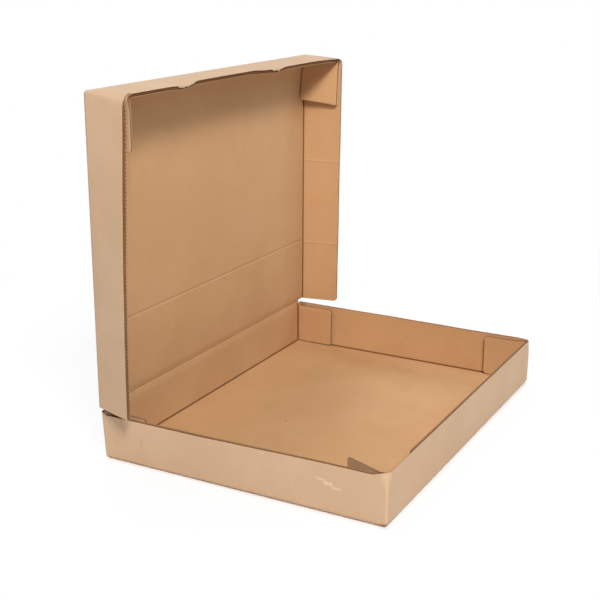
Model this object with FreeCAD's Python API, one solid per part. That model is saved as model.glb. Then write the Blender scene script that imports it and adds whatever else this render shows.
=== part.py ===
"""Hinged-lid corrugated box for a framed picture, folded from one die-cut blank.

The blank runs lid front wall, lid panel, rear wall, base panel, base front wall in one strip.
Side walls fold up along both panels, and square corner flaps fold in behind them.
The lid turns on a crease along the top of the rear wall, so the sheet is built as two nodes:
base_tray (everything below the crease) and lid_tray (everything above it).

Frame: origin at the centre of the base panel's underside. +X along the hinge crease,
-Y towards the opening side, +Z up. The lid is modelled standing open. Units are millimetres.
"""
import math
import os

import FreeCAD
import Part
from FreeCAD import Vector

# Board
BOARD = 4.2
FOLD_INNER = 0.8
BEND_INNER = 2.0

# Base tray
INSIDE_LENGTH = 440.0
INSIDE_WIDTH = 330.0
BASE_HEIGHT = 58.0
LEFT_WALL_DROP = 3.8
RIGHT_WALL_RISE = 0.8
CREASE_CLEAR = 0.7

# Lid tray
LID_FLOOR_GAP = 9.7
LID_SLACK = 0.6
LID_WALL_START = 2.2
LID_LEFT_RISE = 0.0
LID_RIGHT_RISE = 2.6

# Corner flaps
FLAP_LENGTH = 57.0
FLAP_GAP = 0.4
FLAP_UNDERCUT = 1.2
FLAP_DROP = 1.0
GLUE_LENGTH = 16.0
LID_GLUE_LENGTH = 8.0
LOOSE_FLAP_ANGLE = 22.0
REST_FLAP_ANGLE = 0.6
LID_FLAP_TAPER = 7.5

# Rounded, crushed outer corners
NOSE_ALONG = 9.0
NOSE_ACROSS = 12.0
NOSE_CLEAR = 1.2
LID_NOSE_DOWN = 10.0
LID_NOSE_ACROSS = 14.0
FREE_CORNER_RADIUS = 4.0

# Hinge crease
CREASE_GAP = 0.4
CREASE_TIP = 0.1
CREASE_INNER_ANGLE = 47.0
CREASE_OUTER_ANGLE = 52.0

# Lid side walls leaning outwards, as angles from square
LEFT_SPLAY_CORNER = 4.0
LEFT_SPLAY_TOP = 6.6
LEFT_SPLAY_BOTTOM = 17.7
RIGHT_SPLAY_CORNER = 9.0
RIGHT_SPLAY_TOP = 10.6
RIGHT_SPLAY_BOTTOM = 10.9
SPLAY_GROWTH = 0.5
SPLAY_CORNER_LENGTH = 18.0
CORNER_SECTIONS = 4
WALL_SECTIONS = 7

# Base side walls leaning outwards behind the front flaps
BASE_LEAN = 4.5
BASE_LEAN_RISE = 200.0
BASE_SECTIONS = 15

# Pinched rim of the front wall
RIM_BEVEL_LENGTH = 62.0
RIM_BEVEL_HEIGHT = 5.0

# Construction allowances
MARGIN = 5.0
OVERLAP = 0.2
AXIS_X = Vector(1, 0, 0)
AXIS_Y = Vector(0, 1, 0)
AXIS_Z = Vector(0, 0, 1)
NODE_BASE = "base_tray"
NODE_LID = "lid_tray"

# Derived sizes
LEFT_WALL_HEIGHT = BASE_HEIGHT - LEFT_WALL_DROP
RIGHT_WALL_HEIGHT = BASE_HEIGHT + RIGHT_WALL_RISE
CREASE_HEIGHT = max(BASE_HEIGHT, RIGHT_WALL_HEIGHT) + BOARD / 2 + CREASE_CLEAR
LID_DEPTH = CREASE_HEIGHT + BOARD / 2 - LID_FLOOR_GAP
HALF_LENGTH = INSIDE_LENGTH / 2 + BOARD
HALF_WIDTH = INSIDE_WIDTH / 2 + BOARD
FOLD_OUTER = FOLD_INNER + BOARD
BASE_BEND_X = INSIDE_LENGTH / 2 - FLAP_GAP
LID_HALF_LENGTH = HALF_LENGTH + 2 * BOARD + FLAP_GAP + LID_SLACK
LID_BEND_X = LID_HALF_LENGTH - BOARD - FLAP_GAP
LID_REACH = 2 * HALF_WIDTH + BOARD / 2 + LID_SLACK
LID_TOP = CREASE_HEIGHT + LID_REACH
LID_FRONT = HALF_WIDTH - LID_DEPTH
PIVOT_Y = HALF_WIDTH - BOARD / 2


# --- plane outlines -------------------------------------------------------------------------

def unit(vector):
    """Return the vector at length one."""
    return vector * (1.0 / vector.Length)


def left_of(vector):
    """Return the direction a quarter turn to the left of a plane direction."""
    return Vector(-vector.y, vector.x, 0)


def offset_line(points, distance):
    """Shift an open polyline to its left by the distance, keeping its corners mitred."""
    steps = [unit(b - a) for a, b in zip(points, points[1:])]
    moved = [points[0] + left_of(steps[0]) * distance]
    for corner, before, after in zip(points[1:-1], steps, steps[1:]):
        mitre = unit(left_of(before) + left_of(after))
        moved.append(corner + mitre * (distance / mitre.dot(left_of(before))))
    moved.append(points[-1] + left_of(steps[-1]) * distance)
    return moved


def rounded_edges(points, radius):
    """Join the points by lines, with an arc of the radius at every inner point."""
    edges = []
    start = points[0]
    for before, corner, after in zip(points, points[1:], points[2:]):
        back = unit(before - corner)
        ahead = unit(after - corner)
        half = math.acos(max(-1.0, min(1.0, back.dot(ahead)))) / 2
        reach = radius / math.tan(half)
        middle = corner + unit(back + ahead) * (radius / math.sin(half) - radius)
        first = corner + back * reach
        last = corner + ahead * reach
        edges.append(Part.makeLine(start, first))
        edges.append(Part.Arc(first, middle, last).toShape())
        start = last
    edges.append(Part.makeLine(start, points[-1]))
    return edges


def board_band(points, inner_radius):
    """Return the section of a board folded along a polyline; its inside is on the left."""
    outer = rounded_edges(points, inner_radius + BOARD)
    inner_points = offset_line(points, BOARD)
    inner = rounded_edges(inner_points, inner_radius)
    caps = [Part.makeLine(points[0], inner_points[0]), Part.makeLine(points[-1], inner_points[-1])]
    return Part.Face(Part.Wire(Part.__sortEdges__(outer + inner + caps)))


def upright_xz(face):
    """Stand a face drawn in XY up into the XZ plane."""
    turned = face.copy()
    turned.rotate(Vector(0, 0, 0), Vector(1, 0, 0), 90)
    return turned


def upright_yz(face):
    """Stand a face drawn in XY up into the YZ plane."""
    turned = upright_xz(face)
    turned.rotate(Vector(0, 0, 0), Vector(0, 0, 1), 90)
    return turned


def prism(face, low, high, axis):
    """Extrude a face lying across the axis so that it fills low to high along that axis."""
    moved = face.copy()
    moved.translate(axis * low)
    return moved.extrude(axis * (high - low))


def block(low, high):
    """Return the box between two opposite corners."""
    size = Vector(*high) - Vector(*low)
    return Part.makeBox(size.x, size.y, size.z, Vector(*low))


def mirror_x(shape):
    """Return the shape's mirror image across the middle of the box's length."""
    return shape.mirror(Vector(0, 0, 0), AXIS_X)


def fuse_all(shapes):
    """Fuse the shapes into one and merge the faces that run on across the joins."""
    return shapes[0].multiFuse(shapes[1:]).removeSplitter()


def even_steps(start, end, count):
    """Return evenly spaced distances, both ends included."""
    return [start + (end - start) * index / (count - 1) for index in range(count)]


def folded_section(crease, upright, angle, length):
    """Return the section of a right side wall folded off a panel and leaning outwards.

    The crease point is the inner one, upright is the wall's direction at a square fold, and
    the length runs from the inner crease to the wall's free edge.
    """
    turn = math.radians(angle)
    run = upright * math.cos(turn) + AXIS_X * math.sin(turn)
    out = AXIS_X * math.cos(turn) - upright * math.sin(turn)
    back = -AXIS_X
    half = math.radians(90 + angle) / 2
    reach = FOLD_INNER / math.tan(half)
    middle = crease + unit(back + run) * (FOLD_INNER / math.sin(half) - FOLD_INNER)
    root_in = crease + back * BOARD
    root_out = root_in - upright * BOARD
    fold_start = crease - upright * BOARD
    fold_middle = crease + unit(out - upright) * BOARD
    fold_end = crease + out * BOARD
    corners = [root_in, root_out, fold_start]
    edges = [Part.makeLine(a, b) for a, b in zip(corners, corners[1:])]
    edges.append(Part.Arc(fold_start, fold_middle, fold_end).toShape())
    edges.append(Part.makeLine(fold_end, fold_end + run * length))
    edges.append(Part.makeLine(fold_end + run * length, crease + run * length))
    edges.append(Part.makeLine(crease + run * length, crease + run * reach))
    edges.append(Part.Arc(crease + run * reach, middle, crease + back * reach).toShape())
    edges.append(Part.makeLine(crease + back * reach, root_in))
    return Part.Wire(edges)


# --- base tray ------------------------------------------------------------------------------

def corner_waste(corner, run_x, run_y):
    """Return what an elliptical rounding takes off a square corner; runs point inwards."""
    end_x = corner + Vector(run_x, 0, 0)
    end_y = corner + Vector(0, run_y, 0)
    centre = corner + Vector(run_x, run_y, 0)
    middle = centre - Vector(run_x, run_y, 0) * math.sqrt(0.5)
    curve = Part.BSplineCurve()
    quarter = [centre - Vector(run_x * math.sin(a), run_y * math.cos(a), 0)
               for a in (math.pi / 8, 3 * math.pi / 8)]
    curve.interpolate(Points=[end_x, quarter[0], middle, quarter[1], end_y],
                      InitialTangent=Vector(-run_x, 0, 0), FinalTangent=Vector(0, run_y, 0))
    edges = [Part.makeLine(corner, end_x), curve.toShape(), Part.makeLine(end_y, corner)]
    return Part.Face(Part.Wire(edges))


def lean_at(y, height):
    """Return a base side wall's outward angle at a place along its length."""
    share = (y + HALF_WIDTH - FLAP_LENGTH) / BASE_LEAN_RISE
    share = max(0.0, min(1.0, share))
    return math.degrees(math.asin(BASE_LEAN * share * share * (3 - 2 * share) / (height - BOARD)))


def base_side_wall(height):
    """Return the right side wall, upright beside the front flap and leaning outwards behind it."""
    sections = []
    for y in even_steps(-HALF_WIDTH, HALF_WIDTH, BASE_SECTIONS):
        crease = Vector(HALF_LENGTH - BOARD, y, BOARD)
        sections.append(folded_section(crease, AXIS_Z, lean_at(y, height), height - BOARD))
    return Part.makeLoft(sections, True, False)


def end_profile():
    """Return the base's section across its width: front wall, floor, rear wall to the crease."""
    points = [Vector(-HALF_WIDTH, BASE_HEIGHT, 0), Vector(-HALF_WIDTH, 0, 0),
              Vector(HALF_WIDTH, 0, 0), Vector(HALF_WIDTH, CREASE_HEIGHT, 0)]
    return upright_yz(board_band(points, FOLD_INNER))


def base_corner_wastes():
    """Return what the rolled-over liner's rounding takes off the tray's four upright corners."""
    front = corner_waste(Vector(HALF_LENGTH, -HALF_WIDTH, 0), -NOSE_ACROSS, NOSE_ALONG)
    leaning = HALF_LENGTH + BASE_LEAN + NOSE_CLEAR
    rear = corner_waste(Vector(leaning, HALF_WIDTH, 0), HALF_LENGTH - leaning - NOSE_ACROSS,
                        -NOSE_ALONG)
    right = [prism(face, -MARGIN, CREASE_HEIGHT + MARGIN, AXIS_Z) for face in (front, rear)]
    return right + [mirror_x(solid) for solid in right]


def folded_ends_envelope():
    """Return the block whose lower front and rear edges are the end walls' folds."""
    face = upright_yz(filled_channel(HALF_WIDTH, CREASE_HEIGHT + MARGIN))
    reach = HALF_LENGTH + 2 * MARGIN
    return prism(face, -reach, reach, AXIS_X)


def filled_channel(half, height):
    """Return the filled outline of a channel whose two lower corners are folds."""
    points = [Vector(-half, height, 0), Vector(-half, 0, 0), Vector(half, 0, 0),
              Vector(half, height, 0)]
    edges = rounded_edges(points, FOLD_OUTER)
    edges.append(Part.makeLine(points[-1], points[0]))
    return Part.Face(Part.Wire(edges))


def base_end_wall(left_angle, right_angle):
    """Return a front wall and its two flaps; the angles swing the flaps inwards."""
    left = Vector(-BASE_BEND_X, -HALF_WIDTH, 0)
    right = Vector(BASE_BEND_X, -HALF_WIDTH, 0)
    points = [left + flap_run(left_angle, 1), left, right, right + flap_run(right_angle, -1)]
    return prism(board_band(points, BEND_INNER), 0, BASE_HEIGHT, AXIS_Z)


def flap_run(angle, inward):
    """Return the run of a base flap from its bend to its free end."""
    turn = math.radians(angle)
    return Vector(inward * math.sin(turn), math.cos(turn), 0) * FLAP_LENGTH


def base_flap_relief():
    """Return the space kept free under and over a front wall's flaps."""
    reach = INSIDE_LENGTH / 2 - OVERLAP / 2
    near = -HALF_WIDTH + BOARD + FOLD_INNER
    far = -HALF_WIDTH + FLAP_LENGTH + MARGIN
    under = block((-reach, near, BOARD), (reach, far, BOARD + FLAP_UNDERCUT))
    over = block((-reach, near, BASE_HEIGHT - FLAP_DROP), (reach, far, BASE_HEIGHT + MARGIN))
    return under.fuse(over)


def glued_corner(height):
    """Return the joint where a front flap's root is glued to the right side wall."""
    low = (BASE_BEND_X - BOARD + OVERLAP / 2, -HALF_WIDTH, 0)
    high = (INSIDE_LENGTH / 2 + OVERLAP, -HALF_WIDTH + GLUE_LENGTH, height - FLAP_DROP)
    return block(low, high)


def half_turn(shape):
    """Return the shape turned half round the box's upright middle line."""
    turned = shape.copy()
    turned.rotate(Vector(0, 0, 0), AXIS_Z, 180)
    return turned


def base_ends():
    """Return both end walls of the base with their flaps and glued corners."""
    front = base_end_wall(LOOSE_FLAP_ANGLE, REST_FLAP_ANGLE).cut(base_flap_relief())
    rear = base_end_wall(REST_FLAP_ANGLE, REST_FLAP_ANGLE).cut(base_flap_relief())
    left = glued_corner(LEFT_WALL_HEIGHT)
    right = glued_corner(BASE_HEIGHT)
    return [front, half_turn(rear), right, mirror_x(left), half_turn(left),
            half_turn(mirror_x(right))]


def crease_end(board_side):
    """Return the waste that thins a board to the hinge crease, drawn above the pivot line.

    The board's side is +1 below the crease and -1 above it.
    """
    half = BOARD / 2
    inner = (half - CREASE_TIP) * math.tan(math.radians(CREASE_INNER_ANGLE))
    outer = (half - CREASE_TIP) * math.tan(math.radians(CREASE_OUTER_ANGLE))
    top = MARGIN
    heights = [(-MARGIN, top), (-MARGIN, -CREASE_GAP - inner), (-half, -CREASE_GAP - inner),
               (-CREASE_TIP, -CREASE_GAP), (CREASE_TIP, -CREASE_GAP),
               (half, -CREASE_GAP - outer), (MARGIN, -CREASE_GAP - outer), (MARGIN, top)]
    points = [Vector(PIVOT_Y + y, CREASE_HEIGHT + board_side * z, 0) for y, z in heights]
    face = upright_yz(Part.Face(Part.makePolygon(points + points[:1])))
    return prism(face, -LID_HALF_LENGTH - MARGIN, LID_HALF_LENGTH + MARGIN, AXIS_X)


def rim_bevel():
    """Return the waste where the front wall's rim is pinched to its outer face."""
    low = BASE_HEIGHT - RIM_BEVEL_HEIGHT
    high = BASE_HEIGHT + MARGIN
    outer = -HALF_WIDTH + OVERLAP
    inner = outer + BOARD
    points = [Vector(outer, BASE_HEIGHT, 0), Vector(inner, low, 0), Vector(inner, high, 0),
              Vector(outer, high, 0)]
    face = upright_yz(Part.Face(Part.makePolygon(points + points[:1])))
    return prism(face, -BASE_BEND_X, -HALF_LENGTH + RIM_BEVEL_LENGTH, AXIS_X)


def base_floor():
    """Return the base panel between the roots of its side walls."""
    return block((-INSIDE_LENGTH / 2 + OVERLAP, -HALF_WIDTH, 0),
                 (INSIDE_LENGTH / 2 - OVERLAP, HALF_WIDTH, BOARD))


def make_base():
    """Return the base tray, with its flaps, pinched rim and thinned crease."""
    left = mirror_x(base_side_wall(LEFT_WALL_HEIGHT))
    right = base_side_wall(RIGHT_WALL_HEIGHT)
    ends = prism(end_profile(), -BASE_BEND_X, BASE_BEND_X, AXIS_X)
    tray = fuse_all([base_floor(), left, right, ends] + base_ends()).common(folded_ends_envelope())
    for waste in [crease_end(1), rim_bevel()] + base_corner_wastes():
        tray = tray.cut(waste)
    return tray.removeSplitter()


# --- lid tray -------------------------------------------------------------------------------

def splay_at(drop, corner, top, bottom):
    """Return a lid side wall's outward angle at a distance below the lid's top."""
    share = min(1.0, drop / (LID_REACH - LID_WALL_START))
    angle = top + (bottom - top) * share ** SPLAY_GROWTH
    if drop < SPLAY_CORNER_LENGTH:
        angle = corner + (angle - corner) * math.sin(math.pi / 2 * drop / SPLAY_CORNER_LENGTH)
    return angle


def lofted_wall(drops, corner, top, bottom, rise):
    """Return the stretch of the right side wall that runs through evenly spaced sections."""
    sections = []
    for drop in drops:
        crease = Vector(LID_HALF_LENGTH - BOARD, HALF_WIDTH - BOARD, LID_TOP - drop)
        angle = splay_at(drop, corner, top, bottom)
        length = LID_DEPTH - BOARD + rise * (1 - drop / LID_REACH)
        sections.append(folded_section(crease, -AXIS_Y, angle, length))
    return Part.makeLoft(sections, True, False)


def lid_side_wall(corner, top, bottom, rise):
    """Return the right side wall, twisted from its corner angle to its free lower end.

    The rise is how much deeper the wall's upper end is than the lid's front wall.
    """
    near = even_steps(0, SPLAY_CORNER_LENGTH, CORNER_SECTIONS)
    far = even_steps(SPLAY_CORNER_LENGTH, LID_REACH - LID_WALL_START, WALL_SECTIONS)
    upper, lower = (lofted_wall(drops, corner, top, bottom, rise) for drops in (near, far))
    return upper.fuse(lower)


def lid_corner_waste():
    """Return what the rounding takes off the lid's upper right corner."""
    corner = Vector(LID_HALF_LENGTH + MARGIN, LID_TOP, 0)
    rounding = corner_waste(corner, -LID_NOSE_ACROSS, -LID_NOSE_DOWN)
    return prism(upright_xz(rounding), LID_FRONT - 2 * MARGIN, HALF_WIDTH + MARGIN, AXIS_Y)


def lid_back():
    """Return the lid panel running on into the lid's front wall."""
    points = [Vector(HALF_WIDTH, CREASE_HEIGHT, 0), Vector(HALF_WIDTH, LID_TOP, 0),
              Vector(LID_FRONT, LID_TOP, 0)]
    section = upright_yz(board_band(points, FOLD_INNER))
    return prism(section, -LID_HALF_LENGTH + BOARD, LID_HALF_LENGTH - BOARD, AXIS_X)


def lid_flaps():
    """Return the lid's front wall with the two flaps hanging from its ends."""
    low = LID_TOP - FLAP_LENGTH
    points = [Vector(LID_BEND_X, low, 0), Vector(LID_BEND_X, LID_TOP, 0),
              Vector(-LID_BEND_X, LID_TOP, 0), Vector(-LID_BEND_X, low, 0)]
    section = upright_xz(board_band(points, BEND_INNER))
    return prism(section, LID_FRONT, HALF_WIDTH - BOARD - FLAP_UNDERCUT, AXIS_Y)


def lid_flap_taper():
    """Return the waste of the right flap, whose front edge slants back towards its free end."""
    low = LID_TOP - FLAP_LENGTH - MARGIN
    high = LID_TOP - BOARD - BEND_INNER
    points = [Vector(LID_FRONT - MARGIN, high, 0), Vector(LID_FRONT, high, 0),
              Vector(LID_FRONT + LID_FLAP_TAPER, low, 0), Vector(LID_FRONT - MARGIN, low, 0)]
    face = upright_yz(Part.Face(Part.makePolygon(points + points[:1])))
    return prism(face, LID_BEND_X - 2 * BOARD, LID_BEND_X + OVERLAP / 2, AXIS_X)


def lid_glue(corner_angle):
    """Return the joint where a lid flap's root is glued to the right side wall beside it."""
    spread = (LID_DEPTH - BOARD) * math.sin(math.radians(corner_angle))
    inner = LID_BEND_X - BOARD + OVERLAP / 2
    outer = LID_HALF_LENGTH - BOARD / 2
    back = HALF_WIDTH - BOARD
    points = [Vector(inner, LID_FRONT, 0), Vector(outer + spread, LID_FRONT, 0),
              Vector(outer, back, 0), Vector(inner, back, 0)]
    face = Part.Face(Part.makePolygon(points + points[:1]))
    return prism(face, LID_TOP - LID_GLUE_LENGTH, LID_TOP, AXIS_Z)


def lid_envelope():
    """Return the block whose upper rear edge is the fold from lid panel to lid front wall."""
    low = CREASE_HEIGHT - MARGIN
    near = LID_FRONT - MARGIN
    points = [Vector(HALF_WIDTH, low, 0), Vector(HALF_WIDTH, LID_TOP, 0), Vector(near, LID_TOP, 0)]
    edges = rounded_edges(points, FOLD_OUTER)
    edges.append(Part.makeLine(points[-1], Vector(near, low, 0)))
    edges.append(Part.makeLine(Vector(near, low, 0), points[0]))
    face = upright_yz(Part.Face(Part.Wire(edges)))
    reach = LID_HALF_LENGTH + LID_DEPTH
    return prism(face, -reach, reach, AXIS_X)


def free_corner_waste(splay):
    """Return the rounding of the right side wall's free lower corner."""
    low = CREASE_HEIGHT + LID_WALL_START
    edge = HALF_WIDTH - BOARD - (LID_DEPTH - BOARD) * math.cos(math.radians(splay))
    waste = corner_waste(Vector(edge, low, 0), FREE_CORNER_RADIUS, FREE_CORNER_RADIUS)
    return prism(upright_yz(waste), LID_HALF_LENGTH - BOARD, LID_HALF_LENGTH + LID_DEPTH, AXIS_X)


def panel_shoulder():
    """Return the waste beside the crease, where the lid panel is wider than the rear wall."""
    high = CREASE_HEIGHT + LID_WALL_START
    low = CREASE_HEIGHT - MARGIN
    return block((INSIDE_LENGTH / 2, HALF_WIDTH - 2 * BOARD, low),
                 (LID_HALF_LENGTH + MARGIN, HALF_WIDTH + MARGIN, high))


def make_lid():
    """Return the lid tray standing open on its crease."""
    right = lid_side_wall(RIGHT_SPLAY_CORNER, RIGHT_SPLAY_TOP, RIGHT_SPLAY_BOTTOM,
                          LID_RIGHT_RISE)
    right = right.cut(free_corner_waste(RIGHT_SPLAY_BOTTOM))
    left = mirror_x(lid_side_wall(LEFT_SPLAY_CORNER, LEFT_SPLAY_TOP, LEFT_SPLAY_BOTTOM,
                                  LID_LEFT_RISE))
    flaps = lid_flaps().cut(lid_flap_taper())
    glue = [lid_glue(RIGHT_SPLAY_CORNER), mirror_x(lid_glue(LEFT_SPLAY_CORNER))]
    lid = fuse_all([lid_back(), flaps, right, left] + glue).common(lid_envelope())
    wastes = [crease_end(-1), panel_shoulder(), mirror_x(panel_shoulder()),
              lid_corner_waste(), mirror_x(lid_corner_waste())]
    for waste in wastes:
        lid = lid.cut(waste)
    return lid.removeSplitter()


def export(node, shape):
    """Write one node as STEP after checking that it is a single valid solid."""
    if len(shape.Solids) != 1 or not shape.isValid():
        raise ValueError(f"{node}: {len(shape.Solids)} solids, valid {shape.isValid()}")
    shape.Solids[0].exportStep(os.path.join("parts", f"{node}.step"))
    FreeCAD.Console.PrintMessage(f"{node}: volume {shape.Volume / 1000:.1f} cm3\n")


def main():
    """Build and export both nodes."""
    os.makedirs("parts", exist_ok=True)
    export(NODE_BASE, make_base())
    export(NODE_LID, make_lid())


main()
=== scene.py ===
"""A corrugated picture-frame box with a hinged lid, modelled as the folded sheet it is.

Every layer of the double-wall board (two liners, a middle sheet and two rows of fluting) is laid
flat in the blank, given its thickness, and then folded into place by the tray that it belongs to.
"""
import logging
import math
from collections.abc import Callable, Sequence
from dataclasses import dataclass, field
from enum import Enum
from functools import partial

import bmesh
import bpy
from mathutils import Matrix, Vector, noise

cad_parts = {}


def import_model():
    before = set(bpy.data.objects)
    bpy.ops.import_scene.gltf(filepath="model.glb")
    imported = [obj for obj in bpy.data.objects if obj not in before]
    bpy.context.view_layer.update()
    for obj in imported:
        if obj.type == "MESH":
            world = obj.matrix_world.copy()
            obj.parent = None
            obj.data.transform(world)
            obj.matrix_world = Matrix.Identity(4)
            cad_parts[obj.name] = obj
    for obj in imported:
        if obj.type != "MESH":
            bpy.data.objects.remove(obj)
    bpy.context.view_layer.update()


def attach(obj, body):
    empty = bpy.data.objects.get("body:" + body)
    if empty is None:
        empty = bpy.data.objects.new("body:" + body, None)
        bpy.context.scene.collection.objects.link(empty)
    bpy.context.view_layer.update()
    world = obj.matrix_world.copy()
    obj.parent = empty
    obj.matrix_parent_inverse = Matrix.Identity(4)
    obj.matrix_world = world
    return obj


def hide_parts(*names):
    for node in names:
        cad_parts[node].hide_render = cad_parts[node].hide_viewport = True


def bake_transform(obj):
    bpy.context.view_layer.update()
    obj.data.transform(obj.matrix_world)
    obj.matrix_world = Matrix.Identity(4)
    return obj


LOG = logging.getLogger("picture_frame_box")
MM = 0.001

Place = tuple[float, float, float]
Tone = tuple[float, float, float]
Focus = tuple[float, float, float]
Folding = Callable[[float, float, float], Place]
Papers = Sequence[bpy.types.Material]

# Sizes of the folded box, in millimetres.
HALF_LENGTH = 224.2
HALF_WIDTH = 169.2
HINGE_HEIGHT = 61.6

# Nets of lines: no two lines are closer, and a fold or a bend has (reach, step) round it.
CLOSEST_LINES = 0.12
FOLD_NET = (2.4, 0.3)
BEND_NET = (3.0, 0.5)


# --- the board ------------------------------------------------------------------------------

class Paper(Enum):
    """The papers of the board, as the material slots of a piece."""

    OUTER = 0
    INNER = 1
    FLUTE = 2
    CUT = 3
    TORN = 4


@dataclass(frozen=True)
class Flute:
    """One row of fluting between two flat papers, in millimetres."""

    low: float
    high: float
    pitch: float
    phase: float

    def height(self, v: float) -> float:
        """Return the paper's middle height where the wave has run to v."""
        middle, half = (self.low + self.high) / 2, (self.high - self.low) / 2
        return middle + half * math.sin(math.tau * v / self.pitch + self.phase)


@dataclass(frozen=True)
class Board:
    """Double-wall corrugated board, in millimetres from its outer face inwards.

    At the hinge and along every fold it loses shares of its thickness over a width.
    """

    thickness: float = 4.2
    liner: float = 0.35
    paper: float = 0.24
    middle: float = 1.78
    fine: Flute = Flute(0.47, 1.66, 3.3, 0.4)
    coarse: Flute = Flute(2.14, 3.73, 4.0, 1.9)
    score: float = 0.27
    score_width: float = 5.5
    score_line: float = 0.08
    dent: float = 0.30
    dent_width: float = 0.9


BOARD = Board()


def smooth(value: float) -> float:
    """Return a smooth step from 0 to 1 as the value goes from 0 to 1."""
    value = max(0.0, min(1.0, value))
    return value * value * (3 - 2 * value)


def bell(distance: float, width: float) -> float:
    """Return 1 at no distance, falling smoothly to nothing past twice the width."""
    return math.exp(-(distance / width) ** 2)


def swell(share: float) -> float:
    """Return a quarter circle's height from 0 to 1 as the share goes from 0 to 1."""
    return math.sqrt(max(0.0, 1 - (1 - share) ** 2))


def rounding(distance: float, radius: float) -> float:
    """Return how far a rounded corner lies inside its square one, at a distance from the end."""
    return radius * (1 - swell(distance / radius)) if distance < radius else 0.0


def uneven(run: float, row: float, layer: float = 0.0) -> float:
    """Return a smooth random height from -1 to 1 at a run along an edge."""
    return noise.noise(Vector((run, row, layer)))


def lines(low: float, high: float, step: float, *focus: Focus) -> list[float]:
    """Return net lines between two places.

    Args:
        low: The first line.
        high: The last line.
        step: The widest distance between lines.
        focus: Places that need closer lines, each as (middle, reach, step).

    Returns:
        The lines in rising order.
    """
    found = {round(low, 4), round(high, 4)}
    runs = [(low, high, step)] + [(at - reach, at + reach, near) for at, reach, near in focus]
    for start, end, width in runs:
        count = max(1, math.ceil((end - start) / width - 1e-6))
        for index in range(count + 1):
            found.add(round(max(low, min(high, start + (end - start) * index / count)), 4))
    ordered = sorted(found)
    kept = [ordered[0]]
    for value in ordered[1:]:
        if value - kept[-1] > CLOSEST_LINES:
            kept.append(value)
    kept[-1] = ordered[-1]
    return kept


def single(place: float) -> Focus:
    """Return the focus that adds one line at a place."""
    return place, 0.01, 0.02


def turned(values: Sequence[float], way: int) -> list[float]:
    """Return net lines in rising order on one side of the middle (-1 or +1)."""
    return sorted(way * value for value in values)


def scored(distance: float) -> float:
    """Return the share of its thickness that the board keeps at a distance from the hinge."""
    return (1 - BOARD.score * bell(distance, BOARD.score_width)
            - BOARD.score_line * bell(distance, BOARD.dent_width))


def creased(w: float, s: float) -> float:
    """Return a height in the board where its inner side is pressed in along a fold."""
    return w * (1 - BOARD.dent * bell(s, BOARD.dent_width))


def folded(s: float, w: float, crease: float, inner: float, tilt: float) -> tuple[float, float]:
    """Fold a board upwards at a crease.

    Args:
        s: Distance from the crease in the blank, negative on the panel before it.
        w: Height in the board above its outer face.
        crease: Where the two inner faces would meet, measured along the panel.
        inner: Radius of the inner face at the fold.
        tilt: Degrees by which the folded wall leans outwards from square.

    Returns:
        The place along the panel and the height above the panel's outer face.
    """
    lean = math.radians(tilt)
    reach = inner / math.tan(math.pi / 4 + lean / 2)
    if s <= -inner:
        return crease + s, w
    if s < inner:
        turn = (s / inner + 1) / 2 * (math.pi / 2 - lean)
        radius = inner + BOARD.thickness - w
        return (crease - reach + radius * math.sin(turn),
                BOARD.thickness + inner - radius * math.cos(turn))
    run = s - inner + reach
    out = BOARD.thickness - w
    return (crease + run * math.sin(lean) + out * math.cos(lean),
            BOARD.thickness + run * math.cos(lean) - out * math.sin(lean))


def add_object(name: str, data: bpy.types.ID) -> bpy.types.Object:
    """Return a new object in the scene that holds the data.

    Args:
        name: The object's name.
        data: Its mesh, lamp or camera.

    Returns:
        The object.
    """
    made = bpy.data.objects.new(name, data)
    bpy.context.scene.collection.objects.link(made)
    return made


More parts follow.
